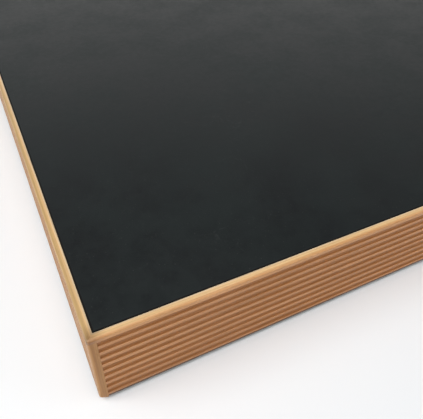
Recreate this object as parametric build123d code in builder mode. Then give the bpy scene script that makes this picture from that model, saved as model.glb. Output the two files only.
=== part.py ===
from build123d import *

import os
from math import floor, sqrt

# Low stage riser: a square deck on a softwood frame, faced all round in light hardwood.
# X runs along the front, Y to the rear and Z up. The origin is on the floor, under the
# middle of the deck, with the levelling feet wound right in.

os.makedirs("parts", exist_ok=True)

# ---------------------------------------------------------------- driving dimensions, mm
deck_length = 1219.2  # overall, along X
deck_width = 1219.2  # overall, along Y
ground_gap = 6.0  # floor to the underside of the frame

rail_depth = 89.0  # frame timber, standing on edge
rail_thickness = 38.0
plywood_thickness = 18.0
sheet_thickness = 6.0
sheet_gap = 0.4  # joint all round the deck sheet
sheet_arris_radius = 0.4
timber_arris_radius = 2.0  # lower edges of the rails, joists and corner blocks
joist_count = 2

facing_thickness = 8.6  # side boards and edging
post_rebate = 1.6  # corner posts reach this far past the facing, over the frame
arris_radius = 3.0  # top outer edge of the edging
corner_softening = 0.2  # upright corners are this much rounder, in plan, than the arris
inner_arris_radius = 0.6  # edge of the edging that meets the deck sheet
foot_arris_radius = 2.0  # bottom outer edge of the side boards
post_foot_cut = 8.5  # bevel across the foot of each post, along both faces
post_foot_cut_height = 5.0

groove_width = 6.8  # at the mouth
groove_pitch = 11.5
groove_depth = 1.4
groove_side_angle = 78.0  # between a groove's side and the board's face, degrees
groove_top_lip = 0.9  # flat left above the first groove
groove_foot_margin = 6.0  # least flat left below the last groove
ridge_radius = 0.4
groove_floor_radius = 0.4

block_side = 89.0  # corner blocks that carry the feet
block_height = 38.0

stem_radius = 4.0
stem_length = 42.0  # above the hexagon
thread_clearance = 0.05
hexagon_across_flats = 13.0
hexagon_height = 5.0
stop_gap = 0.3  # hexagon to insert flange, with the foot wound right in
neck_radius = 2.8
ball_radius = 4.2
socket_clearance = 0.3
socket_floor = 0.3  # pad left below the socket
socket_lip = 0.6  # pad left above the socket
insert_barrel_radius = 6.5
insert_barrel_length = 16.0
insert_flange_radius = 11.0
insert_flange_thickness = 2.0
pad_radius = 20.0
pad_rim_height = 3.0
pad_top_radius = 10.0
sole_thickness = 2.5
sole_inset = 1.0

deck_screw_radius = 2.1
deck_screw_length = 40.0
deck_screw_head_radius = 4.2
deck_screw_spacing = 200.0
frame_screw_radius = 2.5
frame_screw_length = 80.0
frame_screw_head_radius = 5.0
block_screw_radius = 2.1
block_screw_length = 70.0
block_screw_head_radius = 4.2
shank_clearance = 0.2  # around a screw in the piece that it clamps
head_sink = 0.5  # screw heads below the surface

# ---------------------------------------------------------------- levels and plan sizes
frame_bottom = ground_gap
frame_top = frame_bottom + rail_depth
plywood_top = frame_top + plywood_thickness
facing_height = plywood_top - frame_bottom
post_width = facing_thickness + post_rebate
corner_radius = arris_radius + corner_softening

frame_length = deck_length - 2 * facing_thickness
frame_width = deck_width - 2 * facing_thickness
cross_length = frame_width - 2 * rail_thickness

block_x = frame_length / 2 - rail_thickness - block_side / 2
block_y = frame_width / 2 - rail_thickness - block_side / 2

# The foot's own height sets how high its insert and block stand.
socket_radius = ball_radius + socket_clearance
pad_bottom = sole_thickness
ball_centre = pad_bottom + socket_floor + socket_radius
pad_top = ball_centre + socket_radius + socket_lip
hexagon_bottom = pad_top + stop_gap
hexagon_top = hexagon_bottom + hexagon_height
flange_bottom = hexagon_top + stop_gap
block_bottom = flange_bottom + insert_flange_thickness

corners = {
    "front_left": (-1, -1),
    "front_right": (1, -1),
    "rear_left": (-1, 1),
    "rear_right": (1, 1),
}

# Each side: its outward direction, the distance out to its face and its overall length.
sides = {
    "front": (Vector(0, -1, 0), deck_width / 2, deck_length),
    "rear": (Vector(0, 1, 0), deck_width / 2, deck_length),
    "left": (Vector(-1, 0, 0), deck_length / 2, deck_width),
    "right": (Vector(1, 0, 0), deck_length / 2, deck_width),
}


def evenly(count, span):
    """Places of count points spread evenly over span, about its middle."""
    return [span * (index / (count - 1) - 0.5) for index in range(count)]


def drill(planes, radius, depth):
    """Straight holes in the part being built, down from each plane."""
    with Locations(*planes):
        Cylinder(radius, depth, align=(Align.CENTER, Align.CENTER, Align.MAX), mode=Mode.SUBTRACT)


def countersink(planes, radius, head_radius, depth):
    """Clearance holes with a cone for the screw's head, down from each plane."""
    cone_height = head_radius - radius
    drill(planes, head_radius, head_sink)
    drill(planes, radius + shank_clearance, depth)
    with Locations(*[plane.offset(-head_sink) for plane in planes]):
        Cone(
            radius,
            head_radius,
            cone_height,
            align=(Align.CENTER, Align.CENTER, Align.MAX),
            mode=Mode.SUBTRACT,
        )


def drive_screws(planes, radius, head_radius, length):
    """Countersunk screws in the part being built, driven down from each plane."""
    cone_height = head_radius - radius
    with Locations(*[plane.offset(-head_sink) for plane in planes]):
        Cone(radius, head_radius, cone_height, align=(Align.CENTER, Align.CENTER, Align.MAX))
        Cylinder(radius, length - head_sink, align=(Align.CENTER, Align.CENTER, Align.MAX))


# ---------------------------------------------------------------- screw positions
rail_centre_x = frame_length / 2 - rail_thickness / 2
rail_centre_y = frame_width / 2 - rail_thickness / 2
long_count = floor(2 * rail_centre_x / deck_screw_spacing) + 1
cross_count = floor(cross_length / deck_screw_spacing)
cross_xs = evenly(joist_count + 2, 2 * rail_centre_x)
cross_names = ["rail_left"] + [f"joist_{n + 1}" for n in range(joist_count)] + ["rail_right"]
cross_end_signs = {"rail_left": -1, "rail_right": 1}


def deck_planes(places):
    """Planes on the plywood's top for screws at these (x, y) places."""
    return [Plane(origin=(x, y, plywood_top)) for x, y in places]


long_places = {
    "front": [(x, -rail_centre_y) for x in evenly(long_count, 2 * rail_centre_x - rail_thickness)],
    "rear": [(x, rail_centre_y) for x in evenly(long_count, 2 * rail_centre_x - rail_thickness)],
}
cross_span = cross_length * (cross_count - 1) / cross_count
cross_places = [[(x, y) for y in evenly(cross_count, cross_span)] for x in cross_xs]
all_deck_planes = deck_planes(
    long_places["front"] + long_places["rear"] + [place for row in cross_places for place in row]
)

# Frame screws: two through the front or rear rail into the end of each cross member.
frame_screw_levels = [frame_bottom + rail_depth * share for share in (0.2, 0.6)]


def frame_planes(y_sign, xs):
    """Planes on the outside of the front or rear rail, facing outward."""
    y = y_sign * frame_width / 2
    return [Plane(origin=(x, y, z), z_dir=(0, y_sign, 0)) for x in xs for z in frame_screw_levels]


# Block screws: two through each rail into each block behind it. Those along X pass over
# those along Y.
block_screw_offsets = (-0.32 * block_side, 0.32 * block_side)
level_along_x = block_bottom + 0.68 * block_height
level_along_y = block_bottom + 0.32 * block_height


def block_planes_x(x_sign, y_sign):
    """Planes on the outside of the left or right rail, beside one block."""
    x = x_sign * frame_length / 2
    ys = [y_sign * block_y + offset for offset in block_screw_offsets]
    return [Plane(origin=(x, y, level_along_x), z_dir=(x_sign, 0, 0)) for y in ys]


def block_planes_y(x_sign, y_sign):
    """Planes on the outside of the front or rear rail, beside one block."""
    y = y_sign * frame_width / 2
    xs = [x_sign * block_x + offset for offset in block_screw_offsets]
    return [Plane(origin=(x, y, level_along_y), z_dir=(0, y_sign, 0)) for x in xs]


# ---------------------------------------------------------------- deck
with BuildPart() as deck_sheet:
    with BuildSketch(Plane.XY.offset(plywood_top)):
        Rectangle(frame_length - 2 * sheet_gap, frame_width - 2 * sheet_gap)
    extrude(amount=sheet_thickness)
    fillet(deck_sheet.faces().sort_by(Axis.Z)[-1].edges(), sheet_arris_radius)
deck_sheet.part.label = "deck_sheet"
export_step(deck_sheet.part, "parts/deck_sheet.step")

with BuildPart() as deck_plywood:
    with BuildSketch(Plane.XY.offset(frame_top)):
        Rectangle(frame_length, frame_width)
    extrude(amount=plywood_thickness)
    countersink(all_deck_planes, deck_screw_radius, deck_screw_head_radius, plywood_thickness)
deck_plywood.part.label = "deck_plywood"
export_step(deck_plywood.part, "parts/deck_plywood.step")

with BuildPart() as deck_screws:
    drive_screws(all_deck_planes, deck_screw_radius, deck_screw_head_radius, deck_screw_length)
deck_screws.part.label = "deck_screws"
export_step(deck_screws.part, "parts/deck_screws.step")

# ---------------------------------------------------------------- facing
groove_zone = facing_height - groove_top_lip - groove_foot_margin - groove_width
groove_count = floor(groove_zone / groove_pitch) + 1
first_groove = facing_height - groove_top_lip - groove_width / 2
groove_levels = [first_groove - n * groove_pitch for n in range(groove_count)]

for side, (outward, face_distance, side_length) in sides.items():
    along = outward.cross(Vector(0, 0, 1))

    # Edging: a mitred strip that frames the deck sheet and caps the board below it.
    with BuildPart() as edging:
        with BuildSketch(Plane.XY.offset(plywood_top)):
            RectangleRounded(deck_length, deck_width, corner_radius)
            Rectangle(frame_length, frame_width, mode=Mode.SUBTRACT)
        extrude(amount=sheet_thickness)
        top_face = edging.faces().sort_by(Axis.Z)[-1]
        inner_edges = top_face.inner_wires()[0].edges()
        fillet(top_face.outer_wire().edges(), arris_radius)
        fillet(inner_edges, inner_arris_radius)
        for end in (-1, 1):
            corner = outward * face_distance + along * (end * side_length / 2)
            toward_strip = (outward - along * end) / sqrt(2)
            split(bisect_by=Plane(origin=corner, z_dir=toward_strip), keep=Keep.TOP)
    edging.part.label = f"edging_{side}"
    export_step(edging.part, f"parts/edging_{side}.step")

    # Side board: runs between the corner posts, with level grooves along its whole length.
    board_length = side_length - 2 * post_width
    board_start = outward * face_distance - along * (board_length / 2) + Vector(0, 0, frame_bottom)
    with BuildPart() as side_board:
        with BuildSketch(Plane(origin=board_start, x_dir=outward, z_dir=along)) as profile:
            Rectangle(facing_thickness, facing_height, align=(Align.MAX, Align.MIN))
            with Locations(*[(0, level) for level in groove_levels]):
                Trapezoid(
                    groove_width,
                    groove_depth,
                    groove_side_angle,
                    rotation=90,
                    align=(Align.CENTER, Align.MIN),
                    mode=Mode.SUBTRACT,
                )
            fillet(profile.vertices().group_by(Axis.X)[1], groove_floor_radius)
            fillet(profile.vertices().group_by(Axis.X)[-1].sort_by(Axis.Y)[1:-1], ridge_radius)
            fillet(profile.vertices().group_by(Axis.X)[-1].sort_by(Axis.Y)[0], foot_arris_radius)
        extrude(amount=board_length)
    side_board.part.label = f"side_board_{side}"
    export_step(side_board.part, f"parts/side_board_{side}.step")

# Corner posts: rebated over the frame's corner, with the foot bevelled off outside.
for name, (x_sign, y_sign) in corners.items():
    post_x = x_sign * (deck_length - post_width) / 2
    post_y = y_sign * (deck_width - post_width) / 2
    with BuildPart() as corner_post:
        with BuildSketch(Plane.XY.offset(frame_bottom)) as post_plan:
            with Locations((post_x, post_y)):
                Rectangle(post_width, post_width)
            outer_vertex = post_plan.vertices().sort_by_distance((2 * post_x, 2 * post_y))[0]
            fillet(outer_vertex, corner_radius)
            Rectangle(frame_length, frame_width, mode=Mode.SUBTRACT)
        extrude(amount=facing_height)
        bevel_start = (x_sign * (deck_length / 2 - post_foot_cut), y_sign * deck_width / 2, frame_bottom)
        upward = post_foot_cut / post_foot_cut_height
        split(bisect_by=Plane(origin=bevel_start, z_dir=(-x_sign, -y_sign, upward)), keep=Keep.TOP)
    corner_post.part.label = f"corner_post_{name}"
    export_step(corner_post.part, f"parts/corner_post_{name}.step")

# ---------------------------------------------------------------- frame
for side, y_sign in (("front", -1), ("rear", 1)):
    block_planes = block_planes_y(-1, y_sign) + block_planes_y(1, y_sign)
    with BuildPart() as long_rail:
        with BuildSketch(Plane.XY.offset(frame_bottom)):
            with Locations((0, y_sign * rail_centre_y)):
                Rectangle(frame_length, rail_thickness)
        extrude(amount=rail_depth)
        fillet(long_rail.faces().sort_by(Axis.Z)[0].edges().filter_by(Axis.X), timber_arris_radius)
        drill(deck_planes(long_places[side]), deck_screw_radius, deck_screw_length)
        countersink(
            frame_planes(y_sign, cross_xs),
            frame_screw_radius,
            frame_screw_head_radius,
            rail_thickness,
        )
        countersink(block_planes, block_screw_radius, block_screw_head_radius, rail_thickness)
    long_rail.part.label = f"rail_{side}"
    export_step(long_rail.part, f"parts/rail_{side}.step")

for name, member_x, places in zip(cross_names, cross_xs, cross_places):
    x_sign = cross_end_signs.get(name)
    with BuildPart() as cross_member:
        with BuildSketch(Plane.XY.offset(frame_bottom)):
            with Locations((member_x, 0)):
                Rectangle(rail_thickness, cross_length)
        extrude(amount=rail_depth)
        fillet(cross_member.faces().sort_by(Axis.Z)[0].edges().filter_by(Axis.Y), timber_arris_radius)
        drill(deck_planes(places), deck_screw_radius, deck_screw_length)
        for y_sign in (-1, 1):
            drill(frame_planes(y_sign, [member_x]), frame_screw_radius, frame_screw_length)
        if x_sign:
            block_planes = block_planes_x(x_sign, -1) + block_planes_x(x_sign, 1)
            countersink(block_planes, block_screw_radius, block_screw_head_radius, rail_thickness)
    cross_member.part.label = name
    export_step(cross_member.part, f"parts/{name}.step")

with BuildPart() as frame_screws:
    for y_sign in (-1, 1):
        drive_screws(
            frame_planes(y_sign, cross_xs),
            frame_screw_radius,
            frame_screw_head_radius,
            frame_screw_length,
        )
frame_screws.part.label = "frame_screws"
export_step(frame_screws.part, "parts/frame_screws.step")

with BuildPart() as block_screws:
    for x_sign, y_sign in corners.values():
        drive_screws(
            block_planes_x(x_sign, y_sign) + block_planes_y(x_sign, y_sign),
            block_screw_radius,
            block_screw_head_radius,
            block_screw_length,
        )
block_screws.part.label = "block_screws"
export_step(block_screws.part, "parts/block_screws.step")

# ---------------------------------------------------------------- feet
for name, (x_sign, y_sign) in corners.items():
    foot_x = x_sign * block_x
    foot_y = y_sign * block_y

    with BuildPart() as corner_block:
        with BuildSketch(Plane.XY.offset(block_bottom)):
            with Locations((foot_x, foot_y)):
                Rectangle(block_side, block_side)
        extrude(amount=block_height)
        fillet(corner_block.faces().sort_by(Axis.Z)[0].edges(), timber_arris_radius)
        with BuildSketch(Plane.XY.offset(block_bottom)):
            with Locations((foot_x, foot_y)):
                Circle(insert_barrel_radius)
        extrude(amount=block_height, mode=Mode.SUBTRACT)
        drill(
            block_planes_x(x_sign, y_sign) + block_planes_y(x_sign, y_sign),
            block_screw_radius,
            block_screw_length,
        )
    corner_block.part.label = f"corner_block_{name}"
    export_step(corner_block.part, f"parts/corner_block_{name}.step")

    # Threaded insert: a flanged bush pressed up into the block.
    with BuildPart() as foot_insert:
        with BuildSketch(Plane.XY.offset(flange_bottom)):
            with Locations((foot_x, foot_y)):
                Circle(insert_flange_radius)
        extrude(amount=insert_flange_thickness)
        with BuildSketch(Plane.XY.offset(block_bottom)):
            with Locations((foot_x, foot_y)):
                Circle(insert_barrel_radius)
        extrude(amount=insert_barrel_length)
        with BuildSketch(Plane.XY.offset(flange_bottom)):
            with Locations((foot_x, foot_y)):
                Circle(stem_radius + thread_clearance)
        extrude(amount=insert_flange_thickness + insert_barrel_length, mode=Mode.SUBTRACT)
    foot_insert.part.label = f"foot_insert_{name}"
    export_step(foot_insert.part, f"parts/foot_insert_{name}.step")

    # Threaded stem: ball, neck, hexagon for a spanner and the threaded length above it.
    with BuildPart() as foot_stem:
        with Locations((foot_x, foot_y, ball_centre)):
            Sphere(ball_radius)
        with BuildSketch(Plane.XY.offset(ball_centre)):
            with Locations((foot_x, foot_y)):
                Circle(neck_radius)
        extrude(amount=hexagon_bottom - ball_centre)
        with BuildSketch(Plane.XY.offset(hexagon_bottom)):
            with Locations((foot_x, foot_y)):
                RegularPolygon(hexagon_across_flats / 2, 6, major_radius=False)
        extrude(amount=hexagon_height)
        with BuildSketch(Plane.XY.offset(hexagon_top)):
            with Locations((foot_x, foot_y)):
                Circle(stem_radius)
        extrude(amount=stem_length)
        chamfer(foot_stem.faces().sort_by(Axis.Z)[-1].edges(), stem_radius / 5)
    foot_stem.part.label = f"foot_stem_{name}"
    export_step(foot_stem.part, f"parts/foot_stem_{name}.step")

    # Swivel pad: a domed disc whose socket holds the ball.
    with BuildPart() as foot_pad:
        with BuildSketch(Plane.XY.offset(pad_bottom)):
            with Locations((foot_x, foot_y)):
                Circle(pad_radius)
        extrude(amount=pad_rim_height)
        with Locations((foot_x, foot_y, pad_bottom + pad_rim_height)):
            Cone(
                pad_radius,
                pad_top_radius,
                pad_top - pad_bottom - pad_rim_height,
                align=(Align.CENTER, Align.CENTER, Align.MIN),
            )
        with Locations((foot_x, foot_y, ball_centre)):
            Sphere(socket_radius, mode=Mode.SUBTRACT)
        with BuildSketch(Plane.XY.offset(ball_centre)):
            with Locations((foot_x, foot_y)):
                Circle(neck_radius + socket_clearance)
        extrude(amount=pad_top - ball_centre, mode=Mode.SUBTRACT)
    foot_pad.part.label = f"foot_pad_{name}"
    export_step(foot_pad.part, f"parts/foot_pad_{name}.step")

    with BuildPart() as foot_sole:
        with BuildSketch(Plane.XY):
            with Locations((foot_x, foot_y)):
                Circle(pad_radius - sole_inset)
        extrude(amount=sole_thickness)
    foot_sole.part.label = f"foot_sole_{name}"
    export_step(foot_sole.part, f"parts/foot_sole_{name}.step")
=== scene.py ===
import logging
import math
from dataclasses import dataclass
from enum import Enum
from typing import ClassVar, Sequence, Union

import bpy
import numpy as np
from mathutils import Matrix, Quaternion, Vector


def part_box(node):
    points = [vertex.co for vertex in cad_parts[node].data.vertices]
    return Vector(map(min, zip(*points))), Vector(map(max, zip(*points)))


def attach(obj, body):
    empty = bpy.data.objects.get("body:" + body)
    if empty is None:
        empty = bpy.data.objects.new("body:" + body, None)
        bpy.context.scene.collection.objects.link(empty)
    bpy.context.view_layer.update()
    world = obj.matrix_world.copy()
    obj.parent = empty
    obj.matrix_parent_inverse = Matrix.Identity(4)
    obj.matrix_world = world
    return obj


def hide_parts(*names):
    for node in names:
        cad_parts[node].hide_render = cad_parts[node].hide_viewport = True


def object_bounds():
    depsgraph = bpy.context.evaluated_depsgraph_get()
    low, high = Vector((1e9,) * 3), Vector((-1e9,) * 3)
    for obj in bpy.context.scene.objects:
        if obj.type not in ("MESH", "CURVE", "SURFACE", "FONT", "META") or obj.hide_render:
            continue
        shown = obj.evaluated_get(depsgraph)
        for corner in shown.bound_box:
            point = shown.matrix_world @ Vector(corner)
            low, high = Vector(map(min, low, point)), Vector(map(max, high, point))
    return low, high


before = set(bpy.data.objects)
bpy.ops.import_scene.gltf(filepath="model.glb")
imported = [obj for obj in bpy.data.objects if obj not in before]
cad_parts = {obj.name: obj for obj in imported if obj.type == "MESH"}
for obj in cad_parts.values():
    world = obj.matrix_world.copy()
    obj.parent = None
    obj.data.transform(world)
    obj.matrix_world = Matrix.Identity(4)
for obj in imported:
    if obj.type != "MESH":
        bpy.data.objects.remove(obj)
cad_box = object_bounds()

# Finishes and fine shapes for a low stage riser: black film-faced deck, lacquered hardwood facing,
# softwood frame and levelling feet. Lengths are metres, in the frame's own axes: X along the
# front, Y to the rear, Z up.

log = logging.getLogger("riser")

Colour = tuple[float, float, float]
Triple = tuple[float, float, float]
Pair = tuple[float, float]
Band = tuple[float, float]
Socket = bpy.types.NodeSocket
Feed = Union[Socket, float, Colour]

MILLIMETRE = 0.001
FULL_TURN = 2 * math.pi
CRISP_ANGLE = math.radians(35)
NOISE_MIDDLE = 0.5
CORNERS = ("front_left", "front_right", "rear_left", "rear_right")
LONG_SIDES = ("front", "rear")
CROSS_SIDES = ("left", "right")


# ---------------------------------------------------------------- node graphs
@dataclass(frozen=True)
class Noise:
    """A cloudy noise: features per metre on each axis, finer layers, and their strength."""

    scale: Triple
    detail: float = 2.0
    roughness: float = 0.5


def even(scale: float, detail: float = 2.0, roughness: float = 0.5) -> Noise:
    """A noise of the same scale on all three axes."""
    return Noise((scale, scale, scale), detail, roughness)


def drawn_out(along: float, across: float, detail: float = 2.0, roughness: float = 0.5) -> Noise:
    """A noise drawn out along X, the way the grain runs."""
    return Noise((along, across, across), detail, roughness)


class Graph:
    """A node tree being filled in, with one short call for each kind of node in use."""

    def __init__(self, tree: bpy.types.NodeTree) -> None:
        """Starts on a tree.

        Args:
            tree: the material's or group's node tree.
        """
        self.tree = tree

    def node(self, kind: str, **settings: object) -> bpy.types.Node:
        """Adds a node and sets its properties.

        Args:
            kind: the node's type without its ShaderNode prefix.
            settings: property names and values.

        Returns:
            The new node.
        """
        made = self.tree.nodes.new("ShaderNode" + kind)
        for key, value in settings.items():
            setattr(made, key, value)
        return made

    def put(self, socket: Socket, value: Feed) -> None:
        """Links a socket to value, or sets it when value is a number, vector or colour.

        Args:
            socket: the input to feed.
            value: an output, or a constant.
        """
        if isinstance(value, bpy.types.NodeSocket):
            self.tree.links.new(value, socket)
        elif socket.type == "RGBA":
            socket.default_value = (*value, 1.0)
        else:
            socket.default_value = value

    def math(self, operation: str, *values: Feed, clamp: bool = False) -> Socket:
        """One step of arithmetic on numbers.

        Args:
            operation: ADD, MULTIPLY, FRACT and so on.
            values: what it works on.
            clamp: whether the result is held from 0 to 1.

        Returns:
            The result.
        """
        made = self.node("Math", operation=operation, use_clamp=clamp)
        for socket, value in zip(made.inputs, values):
            self.put(socket, value)
        return made.outputs[0]

    def vector(self, operation: str, *values: Feed) -> Socket:
        """One step of arithmetic on vectors.

        Args:
            operation: MULTIPLY, SCALE or ABSOLUTE.
            values: what it works on.

        Returns:
            The result.
        """
        made = self.node("VectorMath", operation=operation)
        for socket, value in zip(made.inputs, values):
            self.put(socket, value)
        return made.outputs[0]

    def split(self, value: Socket) -> tuple[Socket, Socket, Socket]:
        """Takes a vector apart.

        Args:
            value: the vector.

        Returns:
            Its three parts.
        """
        made = self.node("SeparateXYZ")
        self.put(made.inputs[0], value)
        return made.outputs[0], made.outputs[1], made.outputs[2]

    def join(self, x: Feed, y: Feed, z: Feed) -> Socket:
        """Makes a vector.

        Args:
            x: its first part.
            y: its second part.
            z: its third part.

        Returns:
            The vector.
        """
        made = self.node("CombineXYZ")
        for socket, value in zip(made.inputs, (x, y, z)):
            self.put(socket, value)
        return made.outputs[0]

    def noise(self, position: Socket, noise: Noise) -> Socket:
        """Cloudy noise from 0 to 1.

        Args:
            position: where the noise is read, in metres.
            noise: its settings.

        Returns:
            The noise value.
        """
        made = self.node("TexNoise")
        self.put(made.inputs["Vector"], self.vector("MULTIPLY", position, noise.scale))
        made.inputs["Scale"].default_value = 1.0
        made.inputs["Detail"].default_value = noise.detail
        made.inputs["Roughness"].default_value = noise.roughness
        return made.outputs[0]

    def cells(self, position: Socket, scale: Triple) -> tuple[Socket, Socket]:
        """Cells round scattered points.

        Args:
            position: where the cells are read, in metres.
            scale: cells per metre along each axis.

        Returns:
            The distance to the nearest point, in cells, and that point's random colour.
        """
        made = self.node("TexVoronoi")
        self.put(made.inputs["Vector"], self.vector("MULTIPLY", position, scale))
        made.inputs["Scale"].default_value = 1.0
        return made.outputs["Distance"], made.outputs["Color"]

    def ramp(self, value: Feed, band: Band, result: Band = (0.0, 1.0)) -> Socket:
        """Smooth step over a band, held past both its ends.

        Args:
            value: the number to step.
            band: where the step starts and ends.
            result: what it gives at each end.

        Returns:
            The stepped number.
        """
        made = self.node("MapRange", interpolation_type="SMOOTHSTEP")
        for socket, number in zip(made.inputs, (value, *band, *result)):
            self.put(socket, number)
        return made.outputs[0]

    def fall(self, value: Feed, band: Band) -> Socket:
        """Smooth step down over a band, from 1 to 0."""
        return self.ramp(value, band, (1.0, 0.0))

    def product(self, first: Feed, second: Feed) -> Socket:
        """Two numbers multiplied."""
        return self.math("MULTIPLY", first, second)

    def mix(self, factor: Feed, first: Feed, second: Feed) -> Socket:
        """A colour between two.

        Args:
            factor: 0 for the first, 1 for the second.
            first: a colour.
            second: a colour.

        Returns:
            The mixed colour.
        """
        made = self.node("Mix", data_type="RGBA")
        colours = [socket for socket in made.inputs if socket.type == "RGBA"]
        for socket, value in zip((made.inputs["Factor"], *colours), (factor, first, second)):
            self.put(socket, value)
        return next(socket for socket in made.outputs if socket.type == "RGBA")

    def multiply(self, colour: Feed, factor: Feed) -> Socket:
        """A colour or vector with each part multiplied."""
        return self.vector("MULTIPLY", colour, factor)

    def radius(self, first: Socket, second: Socket) -> Socket:
        """How far off two distances at right angles reach: the root of their squares' sum."""
        squares = self.math("ADD", self.product(first, first), self.product(second, second))
        return self.math("SQRT", squares)

    def group(self, tree: bpy.types.NodeTree, **inputs: Feed) -> dict[str, Socket]:
        """Places a shared group.

        Args:
            tree: the group.
            inputs: values for its inputs, named with _ for a space.

        Returns:
            The group's outputs by name.
        """
        made = self.node("Group")
        made.node_tree = tree
        for key, value in inputs.items():
            self.put(made.inputs[key.replace("_", " ")], value)
        return {socket.name: socket for socket in made.outputs}


class GroupMaker:
    """A shared shader node group being made: named sockets first, then its nodes."""

    def __init__(self, name: str, inputs: dict[str, str], outputs: Sequence[str]) -> None:
        """Makes the group's tree and sockets.

        Args:
            name: the group's name.
            inputs: socket names with their types, Float, Vector or Color.
            outputs: names of the value outputs.
        """
        self.tree = bpy.data.node_groups.new(name, "ShaderNodeTree")
        for label, kind in inputs.items():
            self.tree.interface.new_socket(label, in_out="INPUT", socket_type="NodeSocket" + kind)
        for label in outputs:
            self.tree.interface.new_socket(label, in_out="OUTPUT", socket_type="NodeSocketFloat")
        self.graph = Graph(self.tree)
        self.given = self.tree.nodes.new("NodeGroupInput").outputs
        self.result = self.tree.nodes.new("NodeGroupOutput").inputs

    def done(self, **values: Socket) -> bpy.types.NodeTree:
        """Links the outputs.

        Args:
            values: what each output gives, by name.

        Returns:
            The finished group.
        """
        for key, value in values.items():
            self.graph.put(self.result[key], value)
        return self.tree


# ---------------------------------------------------------------- shared effects
def make_timber_grain() -> bpy.types.NodeTree:
    """Group: growth rings, fibres, flecks and broad tone of sawn timber, grain along X.

    A ring is the fraction of (distance from the heart line + a slow wander) / ring spacing. The
    late wood is where that fraction is high. Fibres and flecks are noise drawn out along X.

    Returns:
        The group.
    """
    made = GroupMaker(
        "Timber grain",
        {"Position": "Vector", "Heart Y": "Float", "Heart Z": "Float", "Ring Spacing": "Float",
         "Waviness": "Float", "Swirl": "Float"},
        ("Rings", "Fibre", "Flecks", "Tone"),
    )
    graph, given = made.graph, made.given
    late_starts, late_ends = (0.3, 0.86), (0.93, 1.0)
    fleck_band = (0.6, 0.7)
    position = given["Position"]
    _, y, z = graph.split(position)
    across = graph.math("SUBTRACT", y, given["Heart Y"])
    up = graph.math("SUBTRACT", z, given["Heart Z"])
    wander = graph.noise(position, drawn_out(along=1.3, across=9.0, detail=3.0))
    wander = graph.math("SUBTRACT", wander, NOISE_MIDDLE)
    radius = graph.math("MULTIPLY_ADD", wander, given["Waviness"], graph.radius(across, up))
    radius = graph.math("ADD", radius, given["Swirl"])
    turn = graph.math("FRACT", graph.math("DIVIDE", radius, given["Ring Spacing"]))
    late = graph.product(graph.ramp(turn, late_starts), graph.fall(turn, late_ends))
    fibre = graph.noise(position, drawn_out(along=14.0, across=1300.0, detail=3.0, roughness=0.6))
    fleck = graph.noise(position, drawn_out(along=260.0, across=2600.0, detail=1.0))
    fleck = graph.ramp(fleck, fleck_band)
    tone = graph.noise(position, drawn_out(along=2.2, across=26.0))
    return made.done(Rings=late, Fibre=fibre, Flecks=fleck, Tone=tone)


def make_knots() -> bpy.types.NodeTree:
    """Group: a few knots, and how far they push the growth rings aside.

    Scattered points in a space drawn out along X give cells; a cell holds a knot when its random
    colour is high. The knot is near the point, and the swirl fades out around it.

    Returns:
        The group.
    """
    made = GroupMaker("Knots", {"Position": "Vector", "Push": "Float"}, ("Knot", "Rim", "Swirl"))
    graph, given = made.graph, made.given
    cell_scale = (4.2, 13.0, 13.0)
    chosen_band = (0.62, 0.66)
    knot_edge, rim_edge, swirl_edge = (0.07, 0.1), (0.08, 0.16), (0.05, 0.42)
    distance, colour = graph.cells(given["Position"], cell_scale)
    chosen = graph.ramp(graph.split(colour)[0], chosen_band)
    knot = graph.product(graph.fall(distance, knot_edge), chosen)
    rim = graph.product(graph.fall(distance, rim_edge), chosen)
    near = graph.product(graph.fall(distance, swirl_edge), chosen)
    return made.done(Knot=knot, Rim=rim, Swirl=graph.product(near, given["Push"]))


def make_arris_wear() -> bpy.types.NodeTree:
    """Group: a mask on rounded edges, broken up along their length.

    A face square to an axis has a normal with one part equal to 1. On a rounded edge the largest
    part falls below 1, and that shortfall is the mask.

    Returns:
        The group.
    """
    inputs = {"Position": "Vector", "Normal": "Vector", "Breakup": "Float"}
    made = GroupMaker("Arris wear", inputs, ("Mask",))
    graph, given = made.graph, made.given
    shortfall_band, patch_band, breakup_depth = (0.02, 0.22), (0.1, 0.42), 0.5
    x, y, z = graph.split(graph.vector("ABSOLUTE", given["Normal"]))
    largest = graph.math("MAXIMUM", graph.math("MAXIMUM", x, y), z)
    rounded = graph.ramp(graph.math("SUBTRACT", 1.0, largest), shortfall_band)
    patches = graph.noise(given["Position"], even(38.0, detail=4.0, roughness=0.65))
    patches = graph.math("MULTIPLY_ADD", given["Breakup"], -breakup_depth, patches)
    return made.done(Mask=graph.product(rounded, graph.ramp(patches, patch_band)))


def make_dust() -> bpy.types.NodeTree:
    """Group: settled dust, thickest on faces that look up, in soft patches with fine specks.

    Returns:
        The group.
    """
    inputs = {"Position": "Vector", "Normal": "Vector", "Amount": "Float"}
    made = GroupMaker("Dust", inputs, ("Film", "Specks"))
    graph, given = made.graph, made.given
    upward_band, upward_share = (-0.2, 0.9), (0.25, 1.0)
    patch_band = (0.35, 0.75)
    speck_scale = (420.0, 420.0, 420.0)
    kept_band, speck_edge = (0.93, 0.96), (0.12, 0.28)
    facing = graph.ramp(graph.split(given["Normal"])[2], upward_band, upward_share)
    patches = graph.noise(given["Position"], even(5.0, detail=5.0, roughness=0.6))
    patches = graph.ramp(patches, patch_band)
    film = graph.product(graph.product(patches, facing), given["Amount"])
    distance, colour = graph.cells(given["Position"], speck_scale)
    kept = graph.ramp(graph.split(colour)[1], kept_band)
    specks = graph.product(graph.fall(distance, speck_edge), kept)
    return made.done(Film=film, Specks=graph.product(specks, facing))


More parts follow.
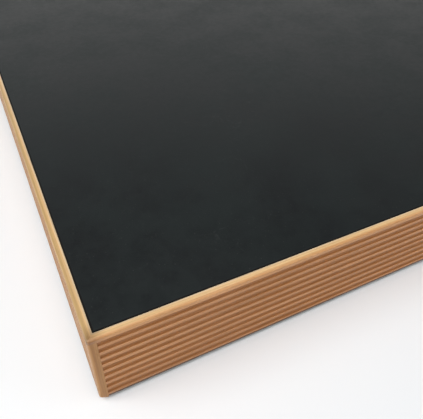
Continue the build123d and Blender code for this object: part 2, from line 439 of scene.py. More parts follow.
def make_fine_pebble() -> bpy.types.NodeTree:
    """Group: the fine pebbled relief of pressed film or moulded plastic, with a broad swell.

    Returns:
        The group.
    """
    inputs = {"Position": "Vector", "Pebbles": "Float"}
    made = GroupMaker("Fine pebble", inputs, ("Relief", "Swell"))
    graph, given = made.graph, made.given
    scaled = graph.vector("SCALE", given["Position"])
    graph.put(scaled.node.inputs["Scale"], given["Pebbles"])
    pebbles = graph.noise(scaled, even(1.0, detail=3.0, roughness=0.6))
    swell = graph.noise(scaled, even(0.035, detail=3.0))
    return made.done(Relief=pebbles, Swell=swell)


class Effects:
    """The shared node groups, each made once."""

    grain = make_timber_grain()
    knots = make_knots()
    arris = make_arris_wear()
    dust = make_dust()
    pebble = make_fine_pebble()


class Surface(Graph):
    """A material being filled in: its shader, object coordinates and the surface's direction."""

    def __init__(self, material: bpy.types.Material) -> None:
        """Starts on a material.

        Args:
            material: a new material.
        """
        material.use_nodes = True
        super().__init__(material.node_tree)
        self.shader = material.node_tree.nodes["Principled BSDF"]
        place = self.node("TexCoord")
        self.position, self.normal = place.outputs["Object"], place.outputs["Normal"]

    def feed(self, **values: Feed) -> None:
        """Feeds the shader's inputs, named with _ for a space."""
        for key, value in values.items():
            self.put(self.shader.inputs[key.replace("_", " ")], value)

    def laid(self, tree: bpy.types.NodeTree, **inputs: Feed) -> dict[str, Socket]:
        """Places a shared group that reads the position and the surface's direction."""
        return self.group(tree, Position=self.position, Normal=self.normal, **inputs)

    def bump(self, height: Socket, depth: float, strength: float) -> None:
        """Feeds the shader's normal from a height.

        Args:
            height: relief from 0 to 1.
            depth: how deep a height of 1 is, in metres.
            strength: share of the relief that shows.
        """
        relief = self.node("Bump")
        self.put(relief.inputs["Strength"], strength)
        self.put(relief.inputs["Distance"], depth)
        self.put(relief.inputs["Height"], height)
        self.feed(Normal=relief.outputs[0])


# ---------------------------------------------------------------- finishes
class Run(Enum):
    """Which way the grain runs in a piece, as the order that brings it onto X."""

    ALONG_X = (0, 1, 2)
    ALONG_Y = (1, 0, 2)
    ALONG_Z = (2, 0, 1)


@dataclass(frozen=True)
class Finish:
    """A surface finish: its name and the constants set straight on the shader."""

    name: str
    coat: float = 0.0
    coat_roughness: float = 0.3
    specular: float = 0.5

    def build(self) -> bpy.types.Material:
        """Makes the material.

        Returns:
            The finished material.
        """
        material = bpy.data.materials.new(self.name)
        graph = Surface(material)
        graph.feed(
            Coat_Weight=self.coat,
            Coat_Roughness=self.coat_roughness,
            Specular_IOR_Level=self.specular,
        )
        self.fill(graph)
        return material

    def fill(self, graph: Surface) -> None:
        """Adds the finish's own nodes.

        Args:
            graph: the material's nodes.
        """
        raise NotImplementedError


@dataclass(frozen=True, kw_only=True)
class Timber(Finish):
    """Planed wood with rings, fibres, flecks and worn arrises."""

    early: Colour
    late: Colour
    run: Run = Run.ALONG_X
    fleck: Colour = (0.4, 0.2, 0.08)
    worn: Colour = (0.8, 0.55, 0.3)
    ring_spacing: float = 0.0045
    waviness: float = 0.03
    heart: Pair = (0.21, 0.34)
    fleck_strength: float = 0.4
    fleck_roughness: float = 0.2
    fleck_sink: float = 0.5
    fibre_strength: float = 0.22
    knot_push: float = 0.0
    roughness: float = 0.42
    roughness_spread: Band = (-0.06, 0.08)
    wear: float = 0.5
    tone_spread: float = 0.07
    rim_strength: float = 0.55
    knot_strength: float = 0.85
    dust: Colour = (0.62, 0.58, 0.52)
    relief_depth: float = 0.12 * MILLIMETRE
    relief_strength: float = 0.55

    def grain_position(self, graph: Surface) -> Socket:
        """The position with the grain's direction brought onto X."""
        parts = graph.split(graph.position)
        return graph.join(*[parts[index] for index in self.run.value])

    def tint(self, graph: Surface, colour: Socket) -> Socket:
        """A last change to the wood's colour; plain timber keeps it."""
        return colour

    def fill(self, graph: Surface) -> None:
        """Adds the wood's nodes.

        Args:
            graph: the material's nodes.
        """
        fibre_band, tone_band, rough_band = (0.25, 0.8), (0.25, 0.75), (0.2, 0.8)
        along = self.grain_position(graph)
        swirl: Feed = 0.0
        if self.knot_push:
            knots = graph.group(Effects.knots, Position=along, Push=self.knot_push)
            swirl = knots["Swirl"]
        grain = graph.group(
            Effects.grain,
            Position=along,
            Heart_Y=self.heart[0],
            Heart_Z=self.heart[1],
            Ring_Spacing=self.ring_spacing,
            Waviness=self.waviness,
            Swirl=swirl,
        )
        colour = graph.mix(grain["Rings"], self.early, self.late)
        fibres = (1.0 + self.fibre_strength, 1.0 - self.fibre_strength)
        streak = graph.ramp(grain["Fibre"], fibre_band, fibres)
        tones = (1.0 - self.tone_spread, 1.0 + self.tone_spread)
        shade = graph.product(streak, graph.ramp(grain["Tone"], tone_band, tones))
        colour = graph.multiply(colour, graph.join(shade, shade, shade))
        flecks = graph.product(grain["Flecks"], self.fleck_strength)
        colour = graph.mix(flecks, colour, self.fleck)
        if self.knot_push:
            colour = graph.mix(graph.product(knots["Rim"], self.rim_strength), colour, self.late)
            colour = graph.mix(graph.product(knots["Knot"], self.knot_strength), colour, self.fleck)
        colour = self.tint(graph, colour)
        arris = graph.laid(Effects.arris, Breakup=0.3)
        colour = graph.mix(graph.product(arris["Mask"], self.wear), colour, self.worn)
        dust = graph.laid(Effects.dust, Amount=0.06)
        colour = graph.mix(dust["Film"], colour, self.dust)
        graph.feed(Base_Color=colour)
        roughs = tuple(self.roughness + spread for spread in self.roughness_spread)
        rough = graph.ramp(grain["Fibre"], rough_band, roughs)
        rough = graph.math("MULTIPLY_ADD", flecks, self.fleck_roughness, rough)
        graph.feed(Roughness=rough)
        relief = graph.math("MULTIPLY_ADD", grain["Flecks"], -self.fleck_sink, grain["Fibre"])
        graph.bump(relief, self.relief_depth, self.relief_strength)


@dataclass(frozen=True, kw_only=True)
class FacingTimber(Timber):
    """Wood on the platform's outside, coloured by its depth below the outer face."""

    face_distance: float
    unevenness: Noise
    uneven_band: ClassVar[Band] = (0.2, 0.8)

    def uneven(self, graph: Surface) -> Socket:
        """Streaks along the grain, which break up the edges of a change in tone."""
        return graph.noise(self.grain_position(graph), self.unevenness)

    def inset(self, graph: Surface, side: Socket) -> Socket:
        """How far in from the outer face a distance from the middle is."""
        return graph.math("SUBTRACT", self.face_distance, side)


@dataclass(frozen=True, kw_only=True)
class EdgingTimber(FacingTimber):
    """Light hardwood of the edging, with painted shade on its outer face, a painted highlight on
    its inner edge, and darker towards its corners.
    """

    width: float
    face_shade: Colour
    face_reach: float
    unevenness: Noise = drawn_out(along=6.0, across=120.0, detail=3.0)
    face_full: float = 1.2 * MILLIMETRE
    face_share: Band = (0.88, 1.0)
    # painted highlight on the inner edge beside the deck sheet: the colour it is multiplied by, and
    # the band it fills
    inner_highlight: Colour = (0.9, 1.04, 1.36)
    inner_highlight_start: float = 2.8 * MILLIMETRE
    inner_highlight_full: float = 0.4
    cornered: Colour = (0.41, 0.33, 0.25)
    corner_full: float = 4 * MILLIMETRE
    corner_reach: float = 34 * MILLIMETRE
    corner_unevenness: float = 0.5
    corner_band: Band = (4 * MILLIMETRE, 16 * MILLIMETRE)
    corner_share: Band = (1.0, 0.3)

    def tint(self, graph: Surface, colour: Socket) -> Socket:
        """Paints shade on the outer face, darkens the corners, and paints a highlight on the inner
        edge.

        The distance in from the outer face is face_distance less the larger of |x| and |y|, and a
        corner is where the smaller of the two comes within corner_reach of that face. The inner
        edge is where the distance in comes within inner_highlight_start of the edging's width.

        Args:
            graph: the material's nodes.
            colour: the wood's colour.

        Returns:
            The changed colour.
        """
        x, y, _ = graph.split(graph.vector("ABSOLUTE", graph.position))
        uneven = self.uneven(graph)
        side = self.inset(graph, graph.math("MAXIMUM", x, y))
        # painted shade: the outer, upright face is darkened, standing in for the lower light it
        # gets than the top
        face = graph.fall(side, (self.face_full, self.face_reach))
        face = graph.product(face, graph.ramp(uneven, self.uneven_band, self.face_share))
        colour = graph.mix(face, colour, graph.multiply(colour, self.face_shade))
        # painted highlight: the inner edge beside the deck sheet is paled, standing in for light
        # caught on its arris
        inner_highlight_ends = self.width - self.inner_highlight_start, self.width - self.inner_highlight_start * self.inner_highlight_full
        inner = graph.ramp(side, inner_highlight_ends)
        colour = graph.mix(inner, colour, graph.multiply(colour, self.inner_highlight))
        end = self.inset(graph, graph.math("MINIMUM", x, y))
        reach = self.corner_reach * self.corner_unevenness
        end = graph.math("MULTIPLY_ADD", uneven, reach, end)
        corner = graph.fall(end, (self.corner_full, self.corner_reach))
        corner = graph.product(corner, graph.ramp(side, self.corner_band, self.corner_share))
        return graph.mix(corner, colour, graph.multiply(colour, self.cornered))


@dataclass(frozen=True, kw_only=True)
class GroovedTimber(FacingTimber):
    """Hardwood whose machined grooves are painted red-brown below the board's face, as painted
    shade in the recesses.
    """

    foot_low: float
    unevenness: Noise = drawn_out(along=5.0, across=160.0, detail=3.0)
    # painted shade: the colour laid in the grooves, standing in for the shade in the recesses
    groove: Colour = (0.352, 0.135, 0.033)
    groove_share: Band = (0.84, 1.0)
    full_groove_shade_depth: float = 0.38 * MILLIMETRE
    groove_shade_start: float = 0.2
    depth_unevenness: float = 0.3 * MILLIMETRE
    # painted shadow along the board's lower edge: the band of height it fills, its strength and its
    # colour
    foot_shadow_band: Band = (3.2 * MILLIMETRE, 5 * MILLIMETRE)
    foot_shadow_share: Band = (0.95, 0.0)
    foot_painted_shadow: Colour = (0.085, 0.038, 0.014)

    def tint(self, graph: Surface, colour: Socket) -> Socket:
        """Paints shade into the grooves and a shadow along the board's foot.

        Depth is the face's distance out less the larger of |x| and |y|, and the foot is a band of
        height above the board's lower edge.

        Args:
            graph: the material's nodes.
            colour: the wood's colour.

        Returns:
            The changed colour.
        """
        x, y, z = graph.split(graph.vector("ABSOLUTE", graph.position))
        depth = self.inset(graph, graph.math("MAXIMUM", x, y))
        uneven = self.uneven(graph)
        # painted shade: faces recessed below the board's face take the groove colour
        edge = graph.math("MULTIPLY_ADD", uneven, self.depth_unevenness, depth)
        tone = graph.ramp(edge, (self.full_groove_shade_depth * self.groove_shade_start, self.full_groove_shade_depth))
        tone = graph.product(tone, graph.ramp(uneven, self.uneven_band, self.groove_share))
        colour = graph.mix(tone, colour, self.groove)
        # painted shadow: a dark band along the board's lower edge stands in for the shadow under it
        height = graph.math("SUBTRACT", z, self.foot_low)
        foot = graph.ramp(height, self.foot_shadow_band, self.foot_shadow_share)
        return graph.mix(foot, colour, self.foot_painted_shadow)


@dataclass(frozen=True, kw_only=True)
class FilmFacedSheet(Finish):
    """Matte black phenolic film over a thin board, with soft clouds, scuffs, and a darker, rougher
    band along its edges whose darkening is painted shade at the joint with the edging.
    """

    half: float
    base: Colour = (0.0012, 0.0028, 0.0036)
    cloud: Colour = (0.0034, 0.0074, 0.0076)
    mottle_strength: float = 0.5
    scuff: Colour = (0.03, 0.034, 0.034)
    scuff_strength: float = 0.5
    scuff_line: Band = (0.0, 0.012)
    dust: Colour = (0.16, 0.16, 0.15)
    speck: Colour = (0.3, 0.3, 0.28)
    speck_strength: float = 0.12
    wear: float = 0.1
    # painted shade along the joint with the edging: its colour, the band's width and the roughness
    # it adds
    joint_shade: Colour = (0.0014, 0.001, 0.0006)
    joint_band_width: float = 2.2 * MILLIMETRE
    joint_band_full: float = 0.6
    joint_band_roughness: float = 0.5
    rough_clouds: Band = (0.44, 0.49)
    relief_depth: float = 0.18 * MILLIMETRE
    relief_strength: float = 0.6

    def scuffs(self, graph: Surface) -> Socket:
        """Thin curling marks: noise close to its middle value, kept only in some patches.

        Args:
            graph: the material's nodes.

        Returns:
            The marks' mask.
        """
        kept_band, broken_band = (0.55, 0.68), (0.42, 0.62)
        line = graph.noise(graph.position, even(22.0))
        line = graph.math("ABSOLUTE", graph.math("SUBTRACT", line, NOISE_MIDDLE))
        kept = graph.ramp(graph.noise(graph.position, even(11.0, detail=3.0)), kept_band)
        broken = graph.ramp(graph.noise(graph.position, even(190.0)), broken_band)
        return graph.product(graph.product(graph.fall(line, self.scuff_line), kept), broken)

    def fill(self, graph: Surface) -> None:
        """Adds the film's nodes.

        Args:
            graph: the material's nodes.
        """
        cloud_band, mottle_band = (0.34, 0.68), (0.32, 0.68)
        pebble = graph.group(Effects.pebble, Position=graph.position, Pebbles=620.0)
        clouds = graph.noise(graph.position, even(9.0, detail=6.0, roughness=0.62))
        clouds = graph.ramp(clouds, cloud_band)
        mottle = graph.noise(graph.position, even(90.0, detail=5.0, roughness=0.72))
        mottle = graph.ramp(mottle, mottle_band)
        scuffs = self.scuffs(graph)
        dust = graph.laid(Effects.dust, Amount=0.016)
        arris = graph.laid(Effects.arris, Breakup=0.5)
        # painted shade: a band along the sheet's edges, beside the edging, is darkened as shade and
        # made rougher
        x, y, _ = graph.split(graph.vector("ABSOLUTE", graph.position))
        inset = graph.math("SUBTRACT", self.half, graph.math("MAXIMUM", x, y))
        joint_band = graph.fall(inset, (self.joint_band_width * self.joint_band_full, self.joint_band_width))
        colour = graph.mix(clouds, self.base, self.cloud)
        for factor, layer in (
            (graph.product(mottle, self.mottle_strength), self.cloud),
            (graph.product(scuffs, self.scuff_strength), self.scuff),
            (dust["Film"], self.dust),
            (graph.product(dust["Specks"], self.speck_strength), self.speck),
            (graph.product(arris["Mask"], self.wear), self.scuff),
            (joint_band, self.joint_shade),
        ):
            colour = graph.mix(factor, colour, layer)
        graph.feed(Base_Color=colour)
        rough = graph.ramp(clouds, (0.0, 1.0), self.rough_clouds)
        for mask, amount in ((mottle, 0.05), (scuffs, -0.08), (dust["Film"], 0.8)):
            rough = graph.math("MULTIPLY_ADD", mask, amount, rough)
        rough = graph.math("MULTIPLY_ADD", joint_band, self.joint_band_roughness, rough, clamp=True)
        graph.feed(Roughness=rough)
        relief = pebble["Relief"]
        for mask, amount in ((mottle, 0.2), (clouds, 0.5)):
            relief = graph.math("MULTIPLY_ADD", mask, amount, relief)
        graph.bump(relief, self.relief_depth, self.relief_strength)


@dataclass(frozen=True, kw_only=True)
class Plywood(Timber):
    """Birch plywood: rotary-cut face veneer, and its plies one over another at the edges."""

    low: float
    ply: float = 1.4 * MILLIMETRE
    glue: Colour = (0.16, 0.09, 0.045)
    glue_band: Band = (0.06, 0.14)
    first_ply: Band = (0.3, 0.5)

    def tint(self, graph: Surface, colour: Socket) -> Socket:
        """Draws the glue lines, but for the underside.

        A line is where the height above the sheet's underside, in plies, has a fraction near 0.

        Args:
            graph: the material's nodes.
            colour: the wood's colour.

        Returns:
            The changed colour.
        """
        height = graph.math("SUBTRACT", graph.split(graph.position)[2], self.low)
        height = graph.math("DIVIDE", height, self.ply)
        line = graph.math("PINGPONG", height, 0.5)
        inside = graph.ramp(height, self.first_ply)
        near = graph.product(graph.fall(line, self.glue_band), inside)
        return graph.mix(near, colour, self.glue)


@dataclass(frozen=True)
class ZincSteel(Finish):
    """Bright zinc plate: turned lines, blotchy passivation and a little dulling."""

    base: Colour = (0.63, 0.64, 0.64)
    warm: Colour = (0.62, 0.57, 0.47)
    rubbed: Colour = (0.8, 0.8, 0.79)
    wear: float = 0.3
    dust: Colour = (0.3, 0.28, 0.25)
    dust_roughness: float = 1.4
    rough_blotches: Band = (0.26, 0.42)
    line_noise: Noise = Noise((60.0, 60.0, 5200.0))
    line_depth: float = 0.03 * MILLIMETRE
    line_strength: float = 0.5

    def fill(self, graph: Surface) -> None:
        """Adds the plating's nodes.

        Args:
            graph: the material's nodes.
        """
        blotch_band = (0.35, 0.7)
        graph.feed(Metallic=1.0)
        blotches = graph.noise(graph.position, even(160.0, detail=4.0, roughness=0.6))
        blotches = graph.ramp(blotches, blotch_band)
        lines = graph.noise(graph.position, self.line_noise)
        colour = graph.mix(blotches, self.base, self.warm)
        arris = graph.laid(Effects.arris, Breakup=0.2)
        colour = graph.mix(graph.product(arris["Mask"], self.wear), colour, self.rubbed)
        dust = graph.laid(Effects.dust, Amount=0.12)
        colour = graph.mix(dust["Film"], colour, self.dust)
        graph.feed(Base_Color=colour)
        rough = graph.ramp(blotches, (0.0, 1.0), self.rough_blotches)
        rough = graph.math("MULTIPLY_ADD", dust["Film"], self.dust_roughness, rough)
        graph.feed(Roughness=rough)
        graph.bump(lines, self.line_depth, self.line_strength)


@dataclass(frozen=True)
class Moulded(Finish):
    """Moulded nylon or rubber: spark-eroded texture, pale scuffs on edges and settled dust."""

    base: Colour = (0.018, 0.018, 0.019)
    scuff: Colour = (0.075, 0.073, 0.07)
    wear: float = 0.4
    dust: Colour = (0.22, 0.2, 0.18)
    pebbles: float = 2400.0
    roughness: float = 0.55
    roughness_spread: Band = (-0.08, 0.1)
    pebble_depth: float = 0.08 * MILLIMETRE
    pebble_strength: float = 0.7

    def fill(self, graph: Surface) -> None:
        """Adds the moulding's nodes.

        Args:
            graph: the material's nodes.
        """
        swell_band, swell_share, pebble_band = (0.3, 0.7), (0.0, 0.35), (0.2, 0.8)
        pebble = graph.group(Effects.pebble, Position=graph.position, Pebbles=self.pebbles)
        swell = graph.ramp(pebble["Swell"], swell_band, swell_share)
        colour = graph.mix(swell, self.base, self.scuff)
        arris = graph.laid(Effects.arris, Breakup=0.6)
        colour = graph.mix(graph.product(arris["Mask"], self.wear), colour, self.scuff)
        dust = graph.laid(Effects.dust, Amount=0.22)
        colour = graph.mix(dust["Film"], colour, self.dust)
        graph.feed(Base_Color=colour)
        roughs = tuple(self.roughness + spread for spread in self.roughness_spread)
        graph.feed(Roughness=graph.ramp(pebble["Relief"], pebble_band, roughs))
        graph.bump(pebble["Relief"], self.pebble_depth, self.pebble_strength)


# ---------------------------------------------------------------- meshes
def turned_faces(rows: int, columns: int) -> list[list[int]]:
    """Faces of a turned surface: rings of four-cornered faces, closed by a cap at each end.

    Vertex (i, j) is number i * columns + j, and face (i, j) runs to row i + 1 and column j + 1,
    with the last column joined to the first. The first ring's cap faces down, the last one's up.

    Args:
        rows: how many rings of vertices.
        columns: vertices in each ring.

    Returns:
        Vertex numbers of each face.
    """
    i, j = np.meshgrid(np.arange(rows - 1), np.arange(columns), indexing="ij")
    beside = (j + 1) % columns
    row, above = i * columns, (i + 1) * columns
    corners = (row + j, row + beside, above + beside, above + j)
    faces = np.stack(corners, axis=-1).reshape(-1, len(corners)).tolist()
    last = (rows - 1) * columns
    return faces + [list(range(columns))[::-1], list(range(last, last + columns))]


def around(columns: int) -> np.ndarray:
    """Directions of evenly spaced columns round an axis, in radians."""
    return np.arange(columns) * FULL_TURN / columns


def make_piece(name: str, points: np.ndarray, faces: list[list[int]]) -> bpy.types.Object:
    """A mesh object at the origin, with its place in its vertices, smooth but for crisp edges.

    Args:
        name: the piece's name.
        points: vertices, in metres.
        faces: vertex numbers of each face.

    Returns:
        The new object, in the scene.
    """
    mesh = bpy.data.meshes.new(name)
    mesh.from_pydata(points.tolist(), [], faces)
    mesh.validate()
    mesh.polygons.foreach_set("use_smooth", np.ones(len(mesh.polygons), bool))
    mesh.update()
    mesh.set_sharp_from_angle(angle=CRISP_ANGLE)
    made = bpy.data.objects.new(name, mesh)
    bpy.context.scene.collection.objects.link(made)
    return made


def dress(piece: bpy.types.Object, material: bpy.types.Material) -> None:
    """Gives every face of a piece one material."""
    piece.data.materials.clear()
    piece.data.materials.append(material)


def arc(centre: Pair, radius: float, start: float, end: float, count: int) -> np.ndarray:
    """Points of an arc in the (radius, height) plane.

    Point = centre + radius * (cos a, sin a), with the angle a from start to end in degrees.

    Args:
        centre: the arc's centre.
        radius: its radius.
        start: first angle.
        end: last angle.
        count: how many points.

    Returns:
        An array of (radius, height) rows.
    """
    angles = np.radians(np.linspace(start, end, count))
    out, up = centre
    return np.column_stack((out + radius * np.cos(angles), up + radius * np.sin(angles)))


@dataclass
class LevellingFoot:
    """One levelling foot: threaded stem with hexagon and ball, ribbed pad and grooved sole."""

    corner: str
    stem_columns: int = 48
    pitch: float = 1.25 * MILLIMETRE
    thread_depth: float = 0.62 * MILLIMETRE
    thread_flatness: float = 1.25
    thread_rows: int = 10
    thread_run_out: float = 0.6
    crest_gap: float = 0.02 * MILLIMETRE
    stem_radius: float = 4 * MILLIMETRE
    lead_in_height: float = 0.8 * MILLIMETRE
    lead_in_depth: float = 0.5 * MILLIMETRE
    across_flats: float = 13 * MILLIMETRE
    hexagon_height: float = 5 * MILLIMETRE
    hexagon_chamfer: float = 0.9 * MILLIMETRE
    hexagon_end_share: float = 0.96
    neck_radius: float = 2.8 * MILLIMETRE
    ball_radius: float = 4.2 * MILLIMETRE
    ball_foot_angle: float = -86.0
    socket_clearance: float = 0.3 * MILLIMETRE
    socket_chamfer: float = 0.5 * MILLIMETRE
    rim_height: float = 3 * MILLIMETRE
    rim_radius: float = 0.8 * MILLIMETRE
    rim_foot_share: float = 1.5
    rim_top_angle: float = 62.0
    collar_angle: float = 40.0
    cone_rows: int = 14
    cone_inset: float = 1.4 * MILLIMETRE
    cone_lift: float = 0.1 * MILLIMETRE
    cone_gap: float = 0.4 * MILLIMETRE
    rib_count: int = 18
    rib_columns: int = 8
    rib_depth: float = 0.45 * MILLIMETRE
    rib_fade: float = 1 * MILLIMETRE
    rib_outer_gap: float = 2 * MILLIMETRE
    rib_inner_gap: float = 0.6 * MILLIMETRE
    rib_flatness: float = 1.6
    sole_columns: int = 72
    sole_radius: float = 0.5 * MILLIMETRE
    sole_middle: float = 0.3 * MILLIMETRE
    sole_grooves: int = 4
    sole_groove_rows: int = 12
    sole_groove_depth: float = 0.9 * MILLIMETRE
    sole_groove_gain: float = 1.8
    sole_groove_drop: float = 0.6
    edge_angle: float = 80.0

    def __post_init__(self) -> None:
        """Reads the foot's place from the frame."""
        self.pad_low, self.pad_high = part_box(f"foot_pad_{self.corner}")
        self.sole_low, self.sole_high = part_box(f"foot_sole_{self.corner}")
        self.stem_low, self.stem_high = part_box(f"foot_stem_{self.corner}")
        self.centre = (self.pad_low + self.pad_high) / 2
        self.ball_height = self.stem_low.z + self.ball_radius
        self.hexagon_low = self.pad_high.z + self.socket_clearance

    def place(self, radius: np.ndarray, angle: np.ndarray, height: np.ndarray) -> np.ndarray:
        """Points (centre x + r cos a, centre y + r sin a, height) from whole arrays.

        Args:
            radius: distances from the foot's axis.
            angle: directions round it.
            height: heights.

        Returns:
            Vertices, one row each.
        """
        radius, angle, height = np.broadcast_arrays(radius, angle, height)
        x = self.centre.x + radius * np.cos(angle)
        y = self.centre.y + radius * np.sin(angle)
        return np.stack((x, y, height), axis=-1).reshape(-1, 3)

    def build_stem(self) -> bpy.types.Object:
        """The stem as one surface over (height along the stem, angle round it).

        The ball is a circle's arc. The hexagon's radius is half the distance across flats over
        the cosine of the angle from the nearest flat, cut back by a cone at both ends. The
        thread's radius is the crest less the depth times a rounded wave of height / pitch less
        angle / full turn, and it fades out at both ends.

        Returns:
            The stem.
        """
        top = self.stem_high.z
        columns, angle = self.stem_columns, around(self.stem_columns)
        neck_angle = math.degrees(math.acos(self.neck_radius / self.ball_radius))
        ends = (self.ball_foot_angle, neck_angle)
        ball = arc((0, self.ball_height), self.ball_radius, *ends, count=15)
        plain = np.vstack((ball, [(self.neck_radius, self.hexagon_low)]))

        hexagon_high = self.hexagon_low + self.hexagon_height
        sixth = FULL_TURN / 6
        from_flat = (angle + sixth / 2) % sixth - sixth / 2
        flats = self.across_flats / 2 / np.cos(from_flat)
        inner = self.across_flats / 2 * self.hexagon_end_share
        full_size = np.array([False, True, True, False])
        level = np.array([
            self.hexagon_low, self.hexagon_low + self.hexagon_chamfer,
            hexagon_high - self.hexagon_chamfer, hexagon_high,
        ])
        hexagon = inner + full_size[:, None] * (flats - inner)

        rows = int((top - hexagon_high) / self.pitch * self.thread_rows)
        height = np.linspace(hexagon_high, top, rows)
        wave = np.cos(FULL_TURN * height[:, None] / self.pitch - angle)
        tooth = 0.5 + 0.5 * np.clip(wave * self.thread_flatness, -1, 1)
        from_end = np.minimum(height - hexagon_high, top - height)
        fade = np.clip(from_end / self.pitch - self.thread_run_out, 0, 1)[:, None]
        root = self.stem_radius - self.crest_gap - self.thread_depth
        thread = root + self.thread_depth * tooth * fade
        lead_in = np.clip((top - height) / self.lead_in_height, 0, 1)[:, None]
        thread = thread - (1 - lead_in) * self.lead_in_depth

        radius = np.vstack((np.repeat(plain[:, :1], columns, axis=1), hexagon, thread))
        heights = np.concatenate((plain[:, 1], level, height))[:, None]
        points = self.place(radius, angle, heights)
        faces = turned_faces(len(heights), columns)
        return make_piece(f"threaded_stem_{self.corner}", points, faces)

    def build_pad(self) -> bpy.types.Object:
        """The pad: an outline turned about the foot's axis, with shallow radial ribs.

        Between the ribs the cone is lower by the rib depth times a rounded wave of the angle,
        faded out towards the rim and the collar.

        Returns:
            The pad.
        """
        low, high = self.pad_low.z, self.pad_high.z
        outer = self.pad_high.x - self.centre.x
        collar = outer / 2
        socket = self.ball_radius + self.socket_clearance
        mouth = self.neck_radius + self.socket_clearance
        mouth_angle = math.degrees(math.acos(mouth / socket))
        edge, chamfer = self.rim_radius, self.socket_chamfer
        rim_top = low + self.rim_height
        cone_low = (outer - self.cone_inset, rim_top + self.cone_lift)
        cone_high = (collar + self.cone_gap, high - self.cone_gap)
        outline = np.vstack((
            [(outer - edge * self.rim_foot_share, low)],
            arc((outer - edge, low + edge), edge, -self.edge_angle, 0, count=5),
            arc((outer - edge, rim_top - edge), edge, 0, self.rim_top_angle, count=5),
            np.linspace(cone_low, cone_high, self.cone_rows),
            arc((collar - edge, high - edge), edge, self.collar_angle, 90, count=4),
            [(mouth + chamfer, high), (mouth, high - chamfer)],
            arc((0, self.ball_height), socket, mouth_angle, self.ball_foot_angle, count=12),
        ))
        columns = self.rib_count * self.rib_columns
        angle = around(columns)
        radius, height = outline[:, :1], outline[:, 1:]
        rib_outer, rib_inner = outer - self.rib_outer_gap, collar + self.rib_inner_gap
        on_cone = np.clip((rib_outer - radius) / self.rib_fade, 0, 1)
        on_cone = on_cone * np.clip((radius - rib_inner) / self.rib_fade, 0, 1)
        on_cone = on_cone * (height > rim_top)
        wave = 0.5 - 0.5 * np.clip(self.rib_flatness * np.cos(self.rib_count * angle), -1, 1)
        heights = height - self.rib_depth * on_cone * wave
        points = self.place(radius, angle, heights)
        faces = turned_faces(len(outline), columns)
        return make_piece(f"ribbed_pad_{self.corner}", points, faces)

    def build_sole(self) -> bpy.types.Object:
        """The sole: a turned disc whose underside has round grooves.

        The underside's height is the groove depth times a flat-topped wave of the radius.

        Returns:
            The sole.
        """
        low, high = self.sole_low.z, self.sole_high.z
        outer = self.sole_high.x - self.centre.x
        edge, start = self.sole_radius, self.sole_middle
        grooved = outer - 2 * edge
        span = np.linspace(start, grooved, self.sole_grooves * self.sole_groove_rows)
        wave = np.cos(FULL_TURN * self.sole_grooves * span / grooved)
        relief = np.clip(-self.sole_groove_gain * wave - self.sole_groove_drop, 0, 1)
        outline = np.vstack((
            np.column_stack((span, low + self.sole_groove_depth * relief)),
            arc((outer - edge, low + edge), edge, -self.edge_angle, 0, count=5),
            arc((outer - edge, high - edge), edge, 0, self.edge_angle, count=5),
            [(start, high)],
        ))
        angle = around(self.sole_columns)
        points = self.place(outline[:, :1], angle, outline[:, 1:])
        faces = turned_faces(len(outline), self.sole_columns)
        return make_piece(f"grooved_sole_{self.corner}", points, faces)

    def build(self, steel: bpy.types.Material, nylon: bpy.types.Material,
              rubber: bpy.types.Material) -> None:
        """Makes the foot's pieces, dresses them and sets them on their bodies.

        Args:
            steel: finish of the stem.
            nylon: finish of the pad.
            rubber: finish of the sole.
        """
        rows = (
            (self.build_stem(), steel, "zinc_steel", "stem", "foot_stem"),
            (self.build_pad(), nylon, "black_nylon", "pad", "foot_pad"),
            (self.build_sole(), rubber, "black_rubber", "pad", "foot_sole"),
        )
        for piece, material, slot, body, node in rows:
            dress(piece, material)
            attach(piece, f"{body}_{self.corner}")
            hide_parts(f"{node}_{self.corner}")
            log.info("%s: %d faces", piece.name, len(piece.data.polygons))


# ---------------------------------------------------------------- sub-assemblies
@dataclass
class Assembly:
    """A group of CAD nodes with the finish that each takes."""

    title: str
    finishes: dict[str, bpy.types.Material]

    def build(self) -> None:
        """Dresses each node and reports it."""
        for node, material in self.finishes.items():
            dress(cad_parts[node], material)
            log.info("%s: %s in %s", self.title, node, material.name)


